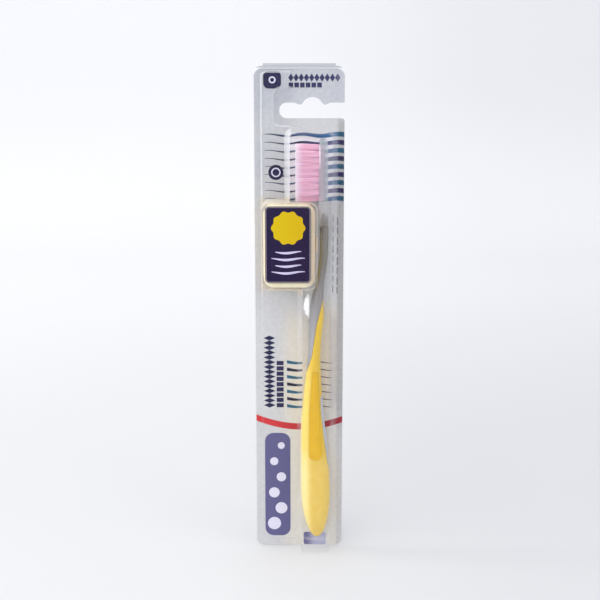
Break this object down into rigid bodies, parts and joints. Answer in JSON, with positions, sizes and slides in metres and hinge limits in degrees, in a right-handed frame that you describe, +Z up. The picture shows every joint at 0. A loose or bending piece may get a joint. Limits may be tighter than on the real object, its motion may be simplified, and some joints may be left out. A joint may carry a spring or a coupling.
{
  "type": "toothbrush in a folding blister pack",
  "caption": "Toothbrush with fine interdental bristles and a hinged travel cap, in a clear fold-over blister pack with a printed film, a label and a side-entry hang slot.",
  "frame": {"origin": "on the floor, in the middle of the pack's footprint, with the pack standing upright", "axes": "+X to the right of the pack seen from the front, +Y out of its back, +Z up along the brush from the handle's end to the head"},
  "size_m": [0.042, 0.018, 0.2326],
  "materials": {
    "clear_plastic": "clear, glossy thermoformed sheet",
    "print_film": "translucent film with printed waves and bands",
    "label": "glossy printed label in navy with a pale rim",
    "silver_core": "silver grey plastic with a pearly sheen",
    "clear_head": "smoky clear plastic",
    "yellow_grip": "soft satin yellow grip",
    "golden_pad": "soft matt golden yellow",
    "bristle": "pink strands with pale tips",
    "cream_cap": "cream plastic, softly glossy"
  },
  "bodies": {
    "pack": {"front_blister": "clear_plastic", "front_label": "label"},
    "cover": {"back_cover": "clear_plastic", "printed_film": "print_film"},
    "brush": {"handle_core": "silver_core", "brush_head": "clear_head", "grip_sleeve": "yellow_grip", "neck_inlay": "yellow_grip", "side_pad_front": "golden_pad", "side_pad_back": "golden_pad", "bristles": "bristle"},
    "cap": {"cap_base": "cream_cap"},
    "lid": {"cap_lid": "cream_cap"}
  },
  "joints": [
    {"name": "cover_open", "type": "hinge", "parent": "pack", "child": "cover", "pos_m": [0, 0.0081, 0.23172], "axis": [1, 0, 0], "range_deg": [0, 170]},
    {"name": "brush_out", "type": "slide", "parent": "pack", "child": "brush", "axis": [0, 1, 0], "range_m": [0, 0.03]},
    {"name": "cap_out", "type": "slide", "parent": "pack", "child": "cap", "axis": [0, 1, 0], "range_m": [0, 0.032]},
    {"name": "cap_lid_open", "type": "hinge", "parent": "cap", "child": "lid", "pos_m": [-0.01615, 0.00178, 0.1508], "axis": [0, 0, 1], "range_deg": [0, 90]}
  ],
  "couplings": [
    {"joint": "brush_out", "follows": "cover_open", "m_per_rad": 0.0101},
    {"joint": "cap_out", "follows": "cover_open", "m_per_rad": 0.0107},
    {"joint": "cap_lid_open", "follows": "cover_open", "ratio": 0.529}
  ]
}
